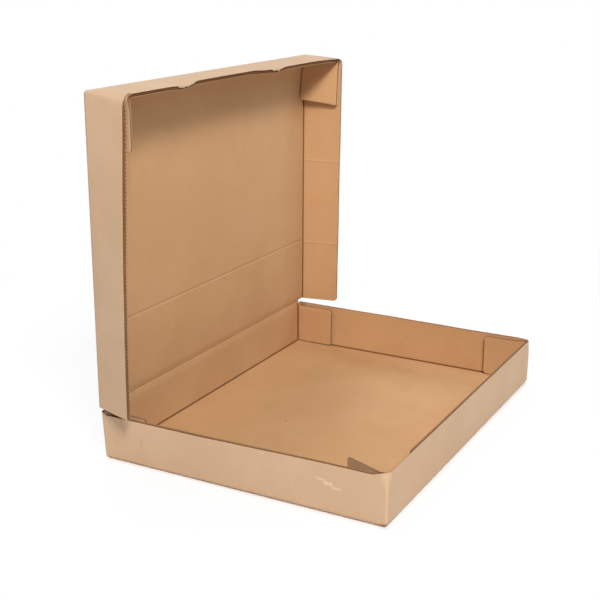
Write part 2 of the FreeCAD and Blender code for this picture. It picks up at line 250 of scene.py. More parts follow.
class Piece:
    """A layer of the board in the making: closed slabs that know their place in the blank."""

    def __init__(self, name: str) -> None:
        """Start an empty piece.

        Args:
            name: The piece's name.
        """
        self.name = name
        self.mesh = bmesh.new()
        self.blank = self.mesh.verts.layers.float_vector.new("blank")
        # nearness to a fold, by which a paper may be painted darker as shade in its folds
        self.fold = self.mesh.verts.layers.float.new("fold")

    def lay(self, us: Sequence[float], vs: Sequence[float], low: float, high: float,
            place: Folding, paper: Paper, keep: Callable[[float, float], bool] | None = None,
            wave: Flute | None = None,
            near: Callable[[float, float], float] | None = None) -> None:
        """Lay one paper flat over a net of lines, thicken it and fold it into place.

        Args:
            us: Net lines across the blank.
            vs: Net lines along the blank.
            low: Height of the paper's outer face in the board.
            high: Height of the paper's inner face in the board.
            place: Gives the folded place of a point of the blank, in metres.
            paper: Which paper it is.
            keep: Says whether the net's cell round a middle point belongs to the sheet.
            wave: The fluting that the paper follows, for a flute.
            near: Gives how near a point of the blank is to a fold, from 0 to 1, for painted fold
                shade.
        """
        bm = self.mesh
        made = bmesh.ops.create_grid(bm, x_segments=len(us) - 1, y_segments=len(vs) - 1, size=0.5)
        verts = made["verts"]
        for vert in verts:
            i = round((vert.co.x + 0.5) * (len(us) - 1))
            j = round((vert.co.y + 0.5) * (len(vs) - 1))
            vert.co = (us[i], vs[j], low)
        faces = list(dict.fromkeys(face for vert in verts for face in vert.link_faces))
        if keep is not None:
            waste = []
            for face in faces:
                middle = face.calc_center_median()
                if not keep(middle.x, middle.y):
                    waste.append(face)
            bmesh.ops.delete(bm, geom=waste, context="FACES")
            faces = [face for face in faces if face.is_valid]
            verts = list(dict.fromkeys(vert for face in faces for vert in face.verts))
        raised = bmesh.ops.extrude_face_region(bm, geom=faces)["geom"]
        top = [item for item in raised if isinstance(item, bmesh.types.BMVert)]
        bmesh.ops.translate(bm, verts=top, vec=(0, 0, high - low))
        slab = verts + top
        skin = list(dict.fromkeys(face for vert in slab for face in vert.link_faces))
        bmesh.ops.recalc_face_normals(bm, faces=skin)
        for face in skin:
            face.normal_update()
            cut = abs(face.normal.z) < 0.5 and paper in (Paper.OUTER, Paper.INNER)
            face.material_index = Paper.CUT.value if cut else paper.value
        for vert in slab:
            u, v, w = vert.co
            if wave is not None:
                w += wave.height(v)
            vert[self.blank] = (u * MM, v * MM, w * MM)
            vert[self.fold] = near(u, v) if near is not None else 0.0
            vert.co = place(u, v, w)

    def finish(self, papers: Papers, body: str | None, sharp: float = 35.0) -> bpy.types.Object:
        """Turn the slabs into an object that rides on a body.

        Args:
            papers: The materials of the papers, in the order of Paper.
            body: The body that carries it, or None for a piece that lies between two bodies.
            sharp: Degrees between faces above which their edge is drawn sharp.

        Returns:
            The finished object.
        """
        limit = math.radians(sharp)
        for face in self.mesh.faces:
            face.smooth = True
        for edge in self.mesh.edges:
            if len(edge.link_faces) == 2 and edge.calc_face_angle(0) > limit:
                edge.smooth = False
        data = bpy.data.meshes.new(self.name)
        self.mesh.to_mesh(data)
        self.mesh.free()
        for material in papers:
            data.materials.append(material)
        piece = add_object(self.name, data)
        if body is not None:
            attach(piece, body)
        LOG.info("%s: %d faces", self.name, len(data.polygons))
        return piece


# --- trays ----------------------------------------------------------------------------------

@dataclass(frozen=True)
class Crease:
    """A line along which the board was once bent, pressed into it."""

    at: float
    deep: float
    width: float
    start: float = -1000.0
    end: float = 1000.0
    slope: float = 0.0

    def depth(self, u: float, v: float) -> float:
        """Return how deep the board is pressed at a point.

        Args:
            u: Distance across the blank.
            v: Distance along the blank.

        Returns:
            The depth, nothing far from the crease.
        """
        if abs(v - self.at) > 4 * self.width + 30 * abs(self.slope):
            return 0.0
        ends = smooth((u - self.start) / 15) * smooth((self.end - u) / 15)
        return self.deep * bell(v - self.at - self.slope * u, self.width) * ends


@dataclass(frozen=True)
class Nick:
    """A place where a rim was knocked, and a tongue of its outer liner hangs over."""

    at: float
    width: float
    sag: float
    tongue: float


@dataclass(frozen=True)
class Flap:
    """A corner flap on the end of an end wall, in millimetres and degrees."""

    swing: float
    reach: float = 57.0
    low: float = 5.4
    drop: float = 1.0
    drop_run: float = 10.0
    round_low: float = 3.0
    round_low_rise: float = 16.0
    round_high: float = 3.0
    taper_high: float = 0.0
    follow: float = 0.0
    lean: float = 0.0
    lean_run: float = 75.0
    turned_in: float = 0.0
    twist: float = 0.0
    longer: float = 0.0

    def free(self, away: float) -> float:
        """Return how far out on the flap a point is, from 0 at its bend to 1 at its end."""
        return max(0.0, away) / (self.reach - BOARD.thickness)

    def shift(self, away: float, h: float) -> float:
        """Return how far outwards a leaning, twisted flap stands at a distance from its bend."""
        return (self.lean * h * smooth(1 + away / self.lean_run)
                + self.free(away) * (self.twist * h - self.turned_in))


@dataclass(frozen=True)
class Nose:
    """The rounding where a side wall's end is crushed round an end wall's bend.

    It grows from a share of its size at the panel to its full size at a height.
    """

    along: float
    across: float
    roll: float
    crush_from: float
    crush_to: float
    root: float
    root_height: float
    full_height: float
    left: float = 0.12
    crush_rise: float = 6.0
    skin: float = 0.25
    tuck: float = 0.35
    tuck_run: float = 1.5

    def growth(self, h: float) -> float:
        """Return the nose's share of its full size at a height over the panel."""
        share = (h - self.root_height) / (self.full_height - self.root_height)
        return self.root + (1 - self.root) * smooth(share)

    def crushed(self, before: float) -> float:
        """Return how much the board is crushed at a distance before the end wall's outer face."""
        return smooth((self.crush_from - before) / (self.crush_from - self.crush_to))

    def kept(self, before: float, up: float) -> float:
        """Return the share of its thickness that a side wall keeps, up from its fold."""
        return 1 - (1 - self.left) * self.crushed(before) * smooth(up / self.crush_rise)


@dataclass(frozen=True)
class EndWall:
    """A wall folded up from the end of a panel, with a flap on each side.

    Its way is -1 or +1 along the panel. Above unbent, the flaps run on straight.
    """

    way: int
    outer: float
    height: float
    bend_x: float
    left: Flap
    right: Flap
    nose: Nose
    bend_inner: float = 1.2
    ripple: float = 0.3
    seed: float = 0.0
    unbent: float | None = None
    slant: float = 0.7
    right_nose: float = 1.0

    def flap(self, side: int) -> Flap:
        """Return the flap on the left (-1) or right (+1)."""
        return self.left if side < 0 else self.right

    @property
    def crease(self) -> float:
        """Return where the inner faces of panel and wall would meet."""
        return self.outer - BOARD.thickness

    @property
    def rim(self) -> float:
        """Return how far along the blank the wall runs."""
        return self.crease + self.height - BOARD.thickness

    @property
    def flap_top(self) -> float:
        """Return how far along the blank its flaps bend with it."""
        return self.crease + (self.unbent or self.height) - BOARD.thickness

    def flap_foot(self, side: int) -> float:
        """Return where along the blank a flap starts."""
        return self.crease + self.flap(side).low - BOARD.thickness

    @property
    def bend_crease(self) -> float:
        """Return where the inner faces of wall and flap would meet."""
        return self.bend_x - BOARD.thickness

    @property
    def bend_start(self) -> float:
        """Return where across the blank a flap's bend starts."""
        return self.bend_crease - self.bend_inner

    def span(self, side: int) -> float:
        """Return how far the sheet runs in the blank on a side."""
        return self.bend_crease + self.flap(side).reach - BOARD.thickness

    @property
    def nose_start(self) -> float:
        """Return where along the panel the side walls' noses start."""
        return self.outer - self.nose.along

    @property
    def nose_end(self) -> float:
        """Return how far along the blank a side wall runs to the end of its nose."""
        return self.nose_start + self.nose.roll


@dataclass
class Tray:
    """A panel with folded walls. Local axes: x across, v along the panel, h inwards."""

    name: str
    body: str
    node: str
    crease: float
    left_height: float
    right_height: float
    ends: tuple[EndWall, ...]
    fold_inner: float = 0.8
    fold_margin: float = 0.2
    flare_run: float = 9.0
    settle_run: float = 30.0
    unbend_rise: float = 2.0
    unbend_run: float = 4.0
    step: float = 6.0
    nose_step: float = 1.4
    fluting_depth: float = 7.0
    raw_edge: float = 0.25
    free_start: float | None = None
    focus_v: tuple[Focus, ...] = ()
    papers: Papers = field(default_factory=list)

    # -- shape rules that each tray fills in

    def tilt(self, side: int, v: float) -> float:
        """Return how far a side wall leans outwards at v, in degrees."""
        return 0.0

    def stand(self, x: float, v: float, h: float) -> Place:
        """Return the place in metres of a local point."""
        return x * MM, v * MM, h * MM

    def pressed(self, side: int, s: float, u: float, v: float, w: float) -> float:
        """Return a point's height in the board where creases press it."""
        return w

    def rim(self, side: int, v: float) -> float:
        """Return how far a side wall's rim rises above its height at v."""
        return self.fray(v, side)

    def flare(self, side: int, v: float) -> float:
        """Return how far the plies have spread at a side wall's rim, as a share."""
        return 0.06

    def droop(self, u: float) -> float:
        """Return how far an end wall's rim leans inwards at u."""
        return 0.0

    def settled(self, side: int) -> float:
        """Return how far a side wall's end has gone down with the end wall's rim."""
        return 0.0

    def pinch(self, end: EndWall, u: float, s: float, w: float) -> float:
        """Return a point's height in the board where an end wall's rim is pinched."""
        return w

    # -- sizes

    @property
    def fold_outer(self) -> float:
        """Return the outer radius of the folds."""
        return self.fold_inner + BOARD.thickness

    def height(self, side: int) -> float:
        """Return a side wall's height."""
        return self.left_height if side < 0 else self.right_height

    def rim_at(self, side: int) -> float:
        """Return how far across the blank a side wall runs."""
        return self.crease + self.height(side) - BOARD.thickness

    def fray(self, v: float, row: float) -> float:
        """Return the small unevenness of a cut edge."""
        return 0.35 * uneven(v * 0.02, row * 7.3, 1.0) + 0.22 * uneven(v * 0.28, row * 3.1, 5.0)

    def beyond(self, v: float) -> tuple[EndWall | None, float]:
        """Return the end wall that v runs towards, and how far v is along that way.

        Args:
            v: Distance along the blank.

        Returns:
            The end wall, or None where there is none, and the distance.
        """
        for end in self.ends:
            if v * end.way > 0 or len(self.ends) == 1:
                return end, v * end.way
        return None, 0.0

    def opened(self, h: float) -> float:
        """Return how far the rounded lower edge has come out at a height, from 0 to 1."""
        return swell(max(0.0, min(1.0, h / self.fold_outer)))

    # -- folding

    def side_point(self, u: float, v: float, w: float) -> Place:
        """Return the place of a point on the panel's middle strip or on a side wall.

        Args:
            u: Distance across the blank.
            v: Distance along the blank.
            w: Height in the board above its outer face.

        Returns:
            The folded place in metres.
        """
        side = -1 if u < 0 else 1
        s = abs(u) - self.crease
        end, ahead = self.beyond(v)
        folding = end is not None and s > -self.fold_inner - self.fold_margin
        if folding:
            w *= end.nose.kept(end.outer - ahead, s + self.fold_inner)
        length = self.height(side) - BOARD.thickness
        if s > self.fold_inner:
            share = s / length
            s += self.rim(side, v) * share * share
        w = creased(self.pressed(side, s, u, v, w), s)
        if s > 0:
            w *= 1 + self.flare(side, v) * smooth(1 - (length - s) / self.flare_run)
        x, h = folded(s, w, self.crease, self.fold_inner, self.tilt(side, v))
        if not folding:
            return self.stand(side * x, v, h)
        share = max(0.0, h / end.height)
        settle = (self.settled(side) * share * share
                  * smooth(1 - (end.outer - ahead) / self.settle_run))
        if ahead > end.nose_start:
            x, ahead = self.rolled(end, side, x, ahead, h, w)
            ahead = self.flattened(end, ahead, h)
        return self.stand(side * x, (ahead - settle) * end.way, h)

    def rolled(self, end: EndWall, side: int, x: float, ahead: float, h: float,
               w: float) -> tuple[float, float]:
        """Roll a side wall's end round the bend of the end wall.

        Args:
            end: The end wall.
            side: The side wall, -1 or +1.
            x: The point's place across, before it is rolled.
            ahead: Its place along the panel, before it is rolled.
            h: Its height over the panel's outer face.
            w: Its height in the board.

        Returns:
            The rolled place across and along.
        """
        nose = end.nose
        growth = nose.growth(h) * (end.right_nose if side > 0 else 1.0)
        start = end.nose_start + nose.along * (1 - growth)
        run = ahead - start
        if run <= 0:
            return x, ahead
        wide, deep = nose.across * growth, nose.along * growth
        arc = math.pi / 2 * math.hypot(wide, deep) / math.sqrt(2)
        turn = min(1.0, run / arc) * math.pi / 2
        centre = self.crease - self.fold_inner - (wide - self.fold_outer) * self.opened(h)
        tuck = nose.tuck * smooth(1 - (end.nose_end - ahead) / nose.tuck_run)
        return (centre + (x - centre) * math.cos(turn) - max(0.0, run - arc),
                start + (deep - nose.skin * w / BOARD.thickness) * math.sin(turn) - tuck)

    def flattened(self, end: EndWall, ahead: float, h: float) -> float:
        """Return a side wall's reach along the panel, drawn in round the end wall's fold.

        Args:
            end: The end wall.
            ahead: Distance along the panel before that.
            h: Height over the panel's outer face.

        Returns:
            The distance along the panel.
        """
        edge = end.outer - self.fold_outer
        if ahead <= edge or h >= self.fold_outer:
            return ahead
        return edge + (ahead - edge) * self.opened(h)

    def end_point(self, end: EndWall, u: float, v: float, w: float) -> Place:
        """Return the place of a point on an end wall or one of its flaps.

        Args:
            end: The end wall.
            u: Distance across the blank.
            v: Distance along the blank.
            w: Height in the board above its outer face.

        Returns:
            The folded place in metres.
        """
        side = -1 if u < 0 else 1
        flap = end.flap(side)
        s = v * end.way - end.crease
        w = creased(self.pinch(end, u, s, w), s)
        if s > self.fold_inner:
            w = creased(w, abs(u) - end.bend_crease)
        y, h = folded(s, w, end.crease, self.fold_inner, 0.0)
        opened = self.opened(h) if s > -self.fold_inner else 0.0
        if end.unbent is not None:
            opened *= 1 - smooth((h - end.unbent) / self.unbend_rise)
        x = abs(u)
        bent_x, bent = folded(x - end.bend_crease, w, end.bend_crease, end.bend_inner,
                              -flap.swing)
        x += (bent_x - x) * opened
        deep = w + (bent - w) * opened
        if x > end.bend_start:
            lean = flap.follow * h * math.tan(math.radians(self.tilt(side, v)))
            x += self.bulge(end, x, deep, max(0.0, lean)) * opened
        x += flap.shift(abs(u) - end.bend_start, h)
        h += self.trim(end, side, u, h)
        share = max(0.0, h / end.height)
        deep += flap.longer * max(0.0, deep - BOARD.thickness) * share
        if end.unbent is None:
            h -= end.slant * w / BOARD.thickness * share * share
        y -= deep - w + self.droop(u) * share * share
        return self.stand(side * x, y * end.way, h)

    def bulge(self, end: EndWall, x: float, deep: float, lean: float) -> float:
        """Return how far a flap's root is pushed out against the crushed, leaning side wall.

        Args:
            end: The end wall.
            x: Distance across.
            deep: Distance behind the end wall's outer face.
            lean: How far the side wall leans outwards there.

        Returns:
            The distance outwards.
        """
        room = self.crease + BOARD.thickness - end.bend_x - self.fold_inner + lean
        share = min(1.0, (x - end.bend_start) / (end.bend_x - end.bend_start))
        return room * end.nose.crushed(deep) * share

    def trim(self, end: EndWall, side: int, u: float, h: float) -> float:
        """Return how far the cut edges of an end wall or flap lie off their straight lines.

        Args:
            end: The end wall.
            side: The side, -1 for left or +1 for right.
            u: Distance across the blank.
            h: Height over the panel's outer face.

        Returns:
            The distance upwards.
        """
        flap = end.flap(side)
        away = abs(u) - end.bend_crease
        last = end.span(side) - abs(u)
        up = smooth((h / end.height - 0.35) / 0.65)
        shift = end.ripple * uneven(u * 0.018, end.seed) + 0.2 * uneven(u * 0.21, end.seed, 3.0)
        shift *= up
        if end.unbent is not None:
            shift *= smooth(1 + away / self.unbend_run)
        if away > -end.bend_inner:
            shift -= flap.drop * smooth((away + end.bend_inner) / flap.drop_run) * up
            shift -= (rounding(last, flap.round_high) + flap.taper_high * flap.free(away)) * up
            shift += rounding(last, flap.round_low) * (
                1 - smooth((h - flap.low) / flap.round_low_rise))
        return shift

    # -- laying the papers

    def strip_lines(self) -> tuple[list[float], list[float]]:
        """Return the middle strip's net lines across and along.

        Returns:
            The lines across and the lines along.
        """
        us = lines(-self.rim_at(-1), self.rim_at(1), self.step,
                   (-self.crease, *FOLD_NET), (self.crease, *FOLD_NET))
        spans = []
        for end in self.ends:
            half = end.nose.roll / 2
            spans += [(end.way * (end.nose_start + half), half, self.nose_step),
                      single(end.way * (end.crease - self.fold_inner))]
        low = min([-end.nose_end for end in self.ends if end.way < 0] or [self.free_start])
        high = max(end.nose_end for end in self.ends if end.way > 0)
        return us, lines(low, high, self.step / 2, *spans, *self.focus_v)

    def in_strip(self, u: float, v: float) -> bool:
        """Say whether a cell belongs to the panel or a side wall.

        Args:
            u: Distance across the blank.
            v: Distance along the blank.

        Returns:
            True where the sheet is kept.
        """
        if abs(u) > self.crease - self.fold_inner:
            return self.free_start is None or v > self.free_start
        return all(v * end.way <= end.crease - self.fold_inner for end in self.ends)

    def end_lines(self, end: EndWall) -> tuple[list[float], list[float]]:
        """Return an end wall's net lines across and along.

        Args:
            end: The end wall.

        Returns:
            The lines across and the lines along.
        """
        left, right = -end.span(-1), end.span(1)
        inside = self.crease - self.fold_inner
        us = lines(left, right, self.step, (-end.bend_crease, *BEND_NET),
                   (end.bend_crease, *BEND_NET), (left + 3, 3, 0.6), (right - 3, 3, 0.6),
                   single(-inside), single(inside))
        ahead = lines(end.crease - self.fold_inner, end.rim, self.step, (end.crease, *FOLD_NET),
                      single(end.flap_foot(-1)), single(end.flap_top), (end.rim - 4, 4, 1.0))
        return us, turned(ahead, end.way)

    def in_end(self, end: EndWall, u: float, v: float) -> bool:
        """Say whether a cell belongs to an end wall or a flap.

        Args:
            end: The end wall.
            u: Distance across the blank.
            v: Distance along the blank.

        Returns:
            True where the sheet is kept.
        """
        if abs(u) < self.crease - self.fold_inner:
            return True
        side = -1 if u < 0 else 1
        return end.flap_foot(side) < v * end.way <= end.flap_top

    def fold_shade_nearness(self, u: float, v: float) -> float:
        """Return how near a point of the blank is to a fold, from 0 to 1, for the painted fold
        shade.

        Args:
            u: Distance across the blank.
            v: Distance along the blank.

        Returns:
            The nearness.
        """
        width = 1.1
        value = bell(abs(u) - self.crease, width)
        end, ahead = self.beyond(v)
        if end is not None and ahead > 0:
            if abs(u) < self.crease - 0.5:
                value = max(value, bell(ahead - end.crease, width))
            if ahead > end.crease:
                value = bell(ahead - end.crease, width)
                if ahead > end.flap_foot(1):
                    value = max(value, bell(abs(u) - end.bend_crease, width))
        return value

    def lay_liner(self, name: str, low: float, high: float, paper: Paper) -> bpy.types.Object:
        """Lay one liner over the whole tray and return it as a finished piece.

        Args:
            name: The piece's name.
            low: Height of its outer face in the board.
            high: Height of its inner face in the board.
            paper: Which paper it is.

        Returns:
            The finished piece.
        """
        piece = Piece(name)
        piece.lay(*self.strip_lines(), low, high, self.side_point, paper, self.in_strip,
                  near=self.fold_shade_nearness)
        for end in self.ends:
            piece.lay(*self.end_lines(end), low, high, partial(self.end_point, end), paper,
                      partial(self.in_end, end), near=self.fold_shade_nearness)
        return piece.finish(self.papers, self.body)

    def lay_fluting(self, name: str) -> bpy.types.Object:
        """Lay the fluting and the middle sheet behind every raw edge.

        Args:
            name: The piece's name.

        Returns:
            The finished piece.
        """
        piece = Piece(name)
        depth, raw = self.fluting_depth, self.raw_edge
        for side in (-1, 1):
            rim = self.rim_at(side)
            us = turned((rim - depth, rim - depth / 2, rim - raw), side)
            self.lay_layers(piece, us, self.wall_run(), self.side_point)
            if self.free_start is not None:
                us = turned(lines(self.crease - 11, rim - depth - 0.2, self.step,
                                  (self.crease, *FOLD_NET)), side)
                run = (self.free_start + raw, self.free_start + depth)
                self.lay_layers(piece, us, run, self.side_point)
        for end in self.ends:
            point = partial(self.end_point, end)
            if end.unbent is None:
                us = lines(-end.bend_start, end.bend_start, self.step)
                run = turned((end.rim - depth, end.rim - 0.9), end.way)
                self.lay_layers(piece, us, run, point)
            for side in (-1, 1):
                last = end.span(side) - raw
                us = turned(lines(end.bend_start, last, self.step,
                                  (end.bend_crease, end.bend_inner, 1.0), (last - 3, 3, 1.0)),
                            side)
                run = turned((end.flap_foot(side) + raw, end.flap_top - raw), end.way)
                self.lay_layers(piece, us, run, point)
        return piece.finish(self.papers, self.body, 60.0)

    def wall_run(self) -> tuple[float, float]:
        """Return where a side wall's fluting starts and ends along the panel.

        Returns:
            The two places in rising order.
        """
        found = [end.way * (end.outer - max(end.nose.crush_to - 1,
                                            end.nose.along - 0.3 * end.nose.roll))
                 for end in self.ends]
        if self.free_start is not None:
            found.append(self.free_start + self.raw_edge)
        return min(found), max(found)

    def lay_layers(self, piece: Piece, us: Sequence[float], run: Sequence[float],
                   point: Folding) -> None:
        """Lay both rows of fluting and the middle sheet over one stretch.

        Args:
            piece: The piece that they belong to.
            us: Net lines across the blank.
            run: Where they start and end along the blank.
            point: Gives the folded place of a point of the blank.
        """
        half = BOARD.paper / 2
        for wave in (BOARD.fine, BOARD.coarse):
            piece.lay(us, lines(*run, wave.pitch / 8), -half, half, point, Paper.FLUTE,
                      wave=wave)
        piece.lay(us, lines(*run, 4.0), BOARD.middle, BOARD.middle + BOARD.paper, point,
                  Paper.FLUTE)

    def build(self, papers: Papers) -> list[bpy.types.Object]:
        """Build the tray's pieces.

        Args:
            papers: The materials of the papers, in the order of Paper.

        Returns:
            The finished pieces.
        """
        self.papers = papers
        full = BOARD.thickness
        made = [self.lay_liner(f"{self.name}_outer_liner", 0.0, BOARD.liner, Paper.OUTER),
                self.lay_liner(f"{self.name}_inner_liner", full - BOARD.liner, full, Paper.INNER),
                self.lay_fluting(f"{self.name}_fluting")]
        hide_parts(self.node)
        return made



@dataclass
class BaseTray(Tray):
    """The base: its side walls lean outwards behind the front flaps."""

    lean: float = 4.5
    lean_start: float = 57.0
    lean_rise: float = 200.0
    pinch_end: float = -162.2
    pinch_height: float = 5.5
    pinch_most: float = 0.91
    pinch_flap: float = 0.72
    corner_drop: float = 1.0
    near_rise: float = 3.4
    ear_rise: float = 3.6
    hinge_gap: float = 2.0

    def tilt(self, side: int, v: float) -> float:
        """Return the side wall's outward lean in degrees."""
        share = smooth((v + self.ends[0].outer - self.lean_start) / self.lean_rise)
        return math.degrees(math.asin(self.lean * share / (self.height(side) - BOARD.thickness)))

    def rim(self, side: int, v: float) -> float:
        """Return the rim: lower at the front right corner, higher at both left corners.

        Args:
            side: The side, -1 for left or +1 for right.
            v: Distance along the blank.

        Returns:
            The rise above the wall's height.
        """
        front, rear = self.ends
        rise = self.fray(v, side)
        if side > 0:
            return rise - self.corner_drop * smooth((4 - v - front.nose_start) / 12)
        rise += self.near_rise * smooth((18 - v - front.outer) / 13)
        return rise + self.ear_rise * smooth((v - rear.outer + 8) / 6)

    def pinch(self, end: EndWall, u: float, s: float, w: float) -> float:
        """Return a point's height in the board, flattened along the front rim's left part.

        Args:
            end: The end wall.
            u: Distance across the blank.
            s: Distance past the fold in the blank.
            w: Height in the board above its outer face.

        Returns:
            The height in the board that is left.
        """
        top = end.height - BOARD.thickness
        if end.way > 0:
            return w * scored(top - s + self.hinge_gap)
        near = smooth((self.pinch_end - u) / 2.5)
        high = smooth(1 - (top - s) / self.pinch_height)
        most = self.pinch_most
        most += (self.pinch_flap - most) * smooth(-u - end.bend_crease)
        return w * (1 - most * near * high)


@dataclass
class LidTray(Tray):
    """The lid: its side walls are splayed, more and more towards the hinge.

    A splay gives the degrees at the upper corner, just below it and at the hinge.
    """

    left_splay: tuple[float, float, float] = (4.0, 5.8, 17.7)
    right_splay: tuple[float, float, float] = (9.0, 10.6, 10.9)
    right_rise: float = 2.6
    corner: float = 18.0
    free_round: float = 4.0
    sag: float = 1.3
    panel_creases: tuple[Crease, ...] = ()
    wall_creases: tuple[Crease, ...] = ()
    nicks: tuple[Nick, ...] = ()

    def tilt(self, side: int, v: float) -> float:
        """Return the side wall's splay in degrees.

        Args:
            side: The side, -1 for left or +1 for right.
            v: Distance along the blank.

        Returns:
            The splay.
        """
        at_corner, top, bottom = self.left_splay if side < 0 else self.right_splay
        reach = self.ends[0].outer
        drop = max(0.0, reach - v)
        share = min(1.0, drop / (reach - self.free_start))
        angle = top + (bottom - top) * math.sin(share * math.pi / 2)
        if drop < self.corner:
            angle = at_corner + (angle - at_corner) * math.sin(math.pi / 2 * drop / self.corner)
        return angle

    def rim(self, side: int, v: float) -> float:
        """Return the side wall's rim: higher on the right, and rounded at its free corner.

        Args:
            side: The side, -1 for left or +1 for right.
            v: Distance along the blank.

        Returns:
            The rise above the wall's height.
        """
        rise = self.fray(v, side + 10)
        if side > 0:
            rise += self.right_rise * min(1.0, v / self.ends[0].outer)
            rise -= rounding(v - self.free_start, self.free_round)
        return rise

    def flare(self, side: int, v: float) -> float:
        """Return how far the plies have spread at a rim: most at the left wall's upper end."""
        return 0.08 + (0.42 * smooth((v - 120) / 190) if side < 0 else 0.0)

    def pressed(self, side: int, s: float, u: float, v: float, w: float) -> float:
        """Return a point's height in the board where the hinge and the creases press it.

        Args:
            side: The side, -1 for left or +1 for right.
            s: Distance past the fold in the blank.
            u: Distance across the blank.
            v: Distance along the blank.
            w: Height in the board above its outer face.

        Returns:
            The height in the board that is left.
        """
        if s < 0:
            w *= scored(v)
            inside = smooth(-(s + self.fold_inner) / 12)
            for crease in self.panel_creases:
                w -= crease.depth(u, v) * inside
        elif side > 0:
            for crease in self.wall_creases:
                w += crease.depth(s, v)
        return w

    def droop(self, u: float) -> float:
        """Return how far the top wall's rim sags at u.

        Args:
            u: Distance across the blank.

        Returns:
            The sag at the rim.
        """
        sag = self.sag + 1.4 * (smooth((u - 150) / 80) + smooth((u - 195) / 40))
        sag -= 1.7 * smooth((u + 135) / 30) * (1 - smooth((u - 10) / 30))
        return sag + sum(nick.sag * bell(u - nick.at, nick.width) for nick in self.nicks)

    def settled(self, side: int) -> float:
        """Return how far a side wall's end has gone down with the top wall's rim."""
        return max(0.0, self.droop(side * self.crease) - self.sag)

    def tongue_point(self, nick: Nick, u: float, t: float, w: float) -> Place:
        """Return the place of a point of a torn tongue.

        Args:
            nick: The knocked place that it hangs from.
            u: Distance across the blank.
            t: Share of the tongue's length, down from the rim's outer edge.
            w: Height in the tongue.

        Returns:
            The folded place in metres.
        """
        end = self.ends[0]
        across = ((u - nick.at) / nick.width) ** 2
        ragged = 0.75 + 1.1 * uneven(u * 0.16, nick.at, 2.0) + 0.35 * uneven(u * 0.7, nick.at, 4.0)
        length = nick.tongue * max(0.0, 1 - across) * max(0.1, ragged)
        lift = 0.25 + 0.5 * math.sin(min(1.0, t) * math.pi) * (0.6 + across)
        lift += 0.25 * uneven(u * 0.5, t * 2.0, 7.0) + w
        x, y, z = self.end_point(end, u, end.rim, 0.1 + t * length)
        return x, y - lift * MM, z

    def build(self, papers: Papers) -> list[bpy.types.Object]:
        """Build the lid's pieces and the torn tongues on its rim.

        Args:
            papers: The materials of the papers, in the order of Paper.

        Returns:
            The finished pieces.
        """
        made = super().build(papers)
        piece = Piece("lid_torn_liner")
        for nick in self.nicks:
            us = lines(nick.at - nick.width, nick.at + nick.width, 0.5)
            piece.lay(us, lines(0.0, 1.0, 0.125), 0.0, 0.22, partial(self.tongue_point, nick),
                      Paper.TORN)
        made.append(piece.finish(self.papers, self.body))
        return made

    def stand(self, x: float, v: float, h: float) -> Place:
        """Return the place in metres of a local point of the standing lid."""
        return x * MM, (HALF_WIDTH - h) * MM, (HINGE_HEIGHT + v) * MM


@dataclass
class HingeCrease:
    """The scored crease, where both liners run on from the rear wall into the lid."""

    half_length: float = 219.2
    reach: float = 2.0
    bead: float = 0.25
    bead_width: float = 0.8
    cords: tuple[float, ...] = (1.0, 1.9, 2.9)

    def place(self, u: float, v: float, w: float) -> Place:
        """Return the place of a point of the crease, v above the hinge line."""
        w = w * scored(v) + self.bead * bell(v, self.bead_width) * (1 - w / BOARD.thickness)
        return u * MM, (HALF_WIDTH - w) * MM, (HINGE_HEIGHT + v) * MM

    def build(self, papers: Papers) -> bpy.types.Object:
        """Build the crease as one piece that lies between the two trays, on neither's body.

        Args:
            papers: The materials of the papers, in the order of Paper.

        Returns:
            The finished piece.
        """
        piece = Piece("hinge_crease")
        us = lines(-self.half_length, self.half_length, 6.0)
        vs = lines(-self.reach, self.reach, 0.25)
        full = BOARD.thickness
        piece.lay(us, vs, 0.0, BOARD.liner, self.place, Paper.OUTER)
        piece.lay(us, vs, full - BOARD.liner, full, self.place, Paper.INNER)
        for side in (-1, 1):
            ends = turned((self.half_length - 6, self.half_length - 0.3), side)
            for height in self.cords:
                piece.lay(ends, vs, height, height + BOARD.paper, self.place, Paper.FLUTE)
        made = piece.finish(papers, None)
        start, end = ((0, (HALF_WIDTH - full / 2) * MM, (HINGE_HEIGHT + way * self.reach) * MM)
                      for way in (-1, 1))
        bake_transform(made)
        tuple(start)
        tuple(end)
        return made


# --- finishes -------------------------------------------------------------------------------

class Shade:
    """A value in a node tree that Python operators can work with."""

    def __init__(self, tree: "Tree", socket: bpy.types.NodeSocket) -> None:
        """Wrap an output socket."""
        self.tree = tree
        self.socket = socket

    def _math(self, operation: str, first: "Shade | float", *others: "Shade | float") -> "Shade":
        """Return the result of a Math node."""
        return self.tree.node("ShaderNodeMath", {"operation": operation},
                              dict(enumerate((first, *others))))

    def __add__(self, other: "Shade | float") -> "Shade":
        """Return the sum."""
        return self._math("ADD", self, other)

    __radd__ = __add__

    def __sub__(self, other: "Shade | float") -> "Shade":
        """Return the difference."""
        return self._math("SUBTRACT", self, other)

    def __rsub__(self, other: float) -> "Shade":
        """Return a number less this value."""
        return self._math("SUBTRACT", other, self)

    def __mul__(self, other: "Shade | float") -> "Shade":
        """Return the product."""
        return self._math("MULTIPLY", self, other)

    __rmul__ = __mul__

    def sine(self) -> "Shade":
        """Return the sine."""
        return self._math("SINE", self)

    def step(self, low: float, high: float) -> "Shade":
        """Return 0 below low, 1 above high and a smooth rise between."""
        return self.tree.node("ShaderNodeMapRange", {"interpolation_type": "SMOOTHSTEP"},
                              {"Value": self, "From Min": low, "From Max": high})


